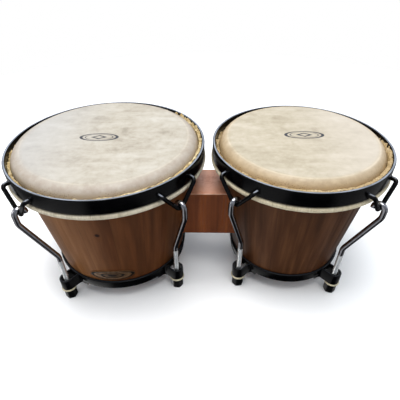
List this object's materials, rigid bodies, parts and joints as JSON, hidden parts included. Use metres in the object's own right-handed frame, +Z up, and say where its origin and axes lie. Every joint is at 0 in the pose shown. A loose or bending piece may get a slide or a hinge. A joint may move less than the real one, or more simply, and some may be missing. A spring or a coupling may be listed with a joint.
{
  "type": "bongo drums",
  "caption": "Pair of hand drums, one larger than the other, with rawhide heads, steel rims drawn down by hook rods, and tapered stave shells joined by a wooden centre block.",
  "frame": {"origin": "middle of the footprint, on the surface that the eight tuning nuts stand on", "axes": "+X from the large drum to the small drum, +Y away from the player, +Z up through the heads"},
  "size_m": [0.4202, 0.2198, 0.18],
  "materials": {
    "large_shell_wood": "clear-coated stained staves, lighter brown",
    "small_shell_wood": "clear-coated stained staves, darker brown",
    "block_wood": "clear-coated reddish brown wood",
    "large_rawhide": "pale grey-cream natural rawhide",
    "small_rawhide": "yellow-tan natural rawhide",
    "hide_wrap": "cream rawhide wrapped over the hoop",
    "black_steel": "gloss black powder coat",
    "chrome_rod": "polished chrome",
    "zinc_plate": "yellowish zinc plating",
    "black_nut": "black coated steel",
    "badge_metal": "dark antiqued metal"
  },
  "bodies": {
    "drum_pair": {"large_shell": "large_shell_wood", "large_head": "large_rawhide", "large_bottom_ring": "black_steel", "large_backing_plate": "block_wood", "large_washer_front_left": "zinc_plate", "large_washer_front_right": "zinc_plate", "large_washer_back_right": "zinc_plate", "large_washer_back_left": "zinc_plate", "small_shell": "small_shell_wood", "small_head": "small_rawhide", "small_bottom_ring": "black_steel", "small_backing_plate": "block_wood", "small_washer_front_left": "zinc_plate", "small_washer_front_right": "zinc_plate", "small_washer_back_right": "zinc_plate", "small_washer_back_left": "zinc_plate", "centre_block": "block_wood", "badge": "badge_metal", "bridge_bolt_lower": "zinc_plate", "bolt_nut_lower": "zinc_plate", "large_bolt_washer_lower": "zinc_plate", "small_bolt_washer_lower": "zinc_plate", "bridge_bolt_upper": "zinc_plate", "bolt_nut_upper": "zinc_plate", "large_bolt_washer_upper": "zinc_plate", "small_bolt_washer_upper": "zinc_plate"},
    "large_counterhoop": {"large_rim": "black_steel", "large_flesh_hoop": "hide_wrap", "large_rod_front_left": "chrome_rod", "large_rod_front_right": "chrome_rod", "large_rod_back_right": "chrome_rod", "large_rod_back_left": "chrome_rod"},
    "large_nut_front_left": {"large_nut_front_left": "black_nut"},
    "large_nut_front_right": {"large_nut_front_right": "black_nut"},
    "large_nut_back_right": {"large_nut_back_right": "black_nut"},
    "large_nut_back_left": {"large_nut_back_left": "black_nut"},
    "small_counterhoop": {"small_rim": "black_steel", "small_flesh_hoop": "hide_wrap", "small_rod_front_left": "chrome_rod", "small_rod_front_right": "chrome_rod", "small_rod_back_right": "chrome_rod", "small_rod_back_left": "chrome_rod"},
    "small_nut_front_left": {"small_nut_front_left": "black_nut"},
    "small_nut_front_right": {"small_nut_front_right": "black_nut"},
    "small_nut_back_right": {"small_nut_back_right": "black_nut"},
    "small_nut_back_left": {"small_nut_back_left": "black_nut"}
  },
  "joints": [
    {"name": "large_tuning_slide", "type": "slide", "parent": "drum_pair", "child": "large_counterhoop", "axis": [0, 0, -1], "range_m": [-0.003, 0.0035]},
    {"name": "large_nut_turn_front_left", "type": "hinge", "parent": "drum_pair", "child": "large_nut_front_left", "pos_m": [-0.15676, -0.07499, 0.0072], "axis": [0, 0, 1], "range_deg": [-1090, 1270]},
    {"name": "large_nut_turn_front_right", "type": "hinge", "parent": "drum_pair", "child": "large_nut_front_right", "pos_m": [-0.02526, -0.05651, 0.0072], "axis": [0, 0, 1], "range_deg": [-1090, 1270]},
    {"name": "large_nut_turn_back_right", "type": "hinge", "parent": "drum_pair", "child": "large_nut_back_right", "pos_m": [-0.04374, 0.07499, 0.0072], "axis": [0, 0, 1], "range_deg": [-1090, 1270]},
    {"name": "large_nut_turn_back_left", "type": "hinge", "parent": "drum_pair", "child": "large_nut_back_left", "pos_m": [-0.17524, 0.05651, 0.0072], "axis": [0, 0, 1], "range_deg": [-1090, 1270]},
    {"name": "small_tuning_slide", "type": "slide", "parent": "drum_pair", "child": "small_counterhoop", "axis": [0, 0, -1], "range_m": [-0.003, 0.0035]},
    {"name": "small_nut_turn_front_left", "type": "hinge", "parent": "drum_pair", "child": "small_nut_front_left", "pos_m": [0.05143, -0.05254, 0.0072], "axis": [0, 0, 1], "range_deg": [-1090, 1270]},
    {"name": "small_nut_turn_front_right", "type": "hinge", "parent": "drum_pair", "child": "small_nut_front_right", "pos_m": [0.16549, -0.06152, 0.0072], "axis": [0, 0, 1], "range_deg": [-1090, 1270]},
    {"name": "small_nut_turn_back_right", "type": "hinge", "parent": "drum_pair", "child": "small_nut_back_right", "pos_m": [0.17447, 0.05254, 0.0072], "axis": [0, 0, 1], "range_deg": [-1090, 1270]},
    {"name": "small_nut_turn_back_left", "type": "hinge", "parent": "drum_pair", "child": "small_nut_back_left", "pos_m": [0.06041, 0.06152, 0.0072], "axis": [0, 0, 1], "range_deg": [-1090, 1270]}
  ],
  "couplings": [
    {"joint": "large_nut_turn_front_left", "follows": "large_tuning_slide", "rad_per_m": 6283.2},
    {"joint": "large_nut_turn_front_right", "follows": "large_tuning_slide", "rad_per_m": 6283.2},
    {"joint": "large_nut_turn_back_right", "follows": "large_tuning_slide", "rad_per_m": 6283.2},
    {"joint": "large_nut_turn_back_left", "follows": "large_tuning_slide", "rad_per_m": 6283.2},
    {"joint": "small_nut_turn_front_left", "follows": "small_tuning_slide", "rad_per_m": 6283.2},
    {"joint": "small_nut_turn_front_right", "follows": "small_tuning_slide", "rad_per_m": 6283.2},
    {"joint": "small_nut_turn_back_right", "follows": "small_tuning_slide", "rad_per_m": 6283.2},
    {"joint": "small_nut_turn_back_left", "follows": "small_tuning_slide", "rad_per_m": 6283.2}
  ]
}
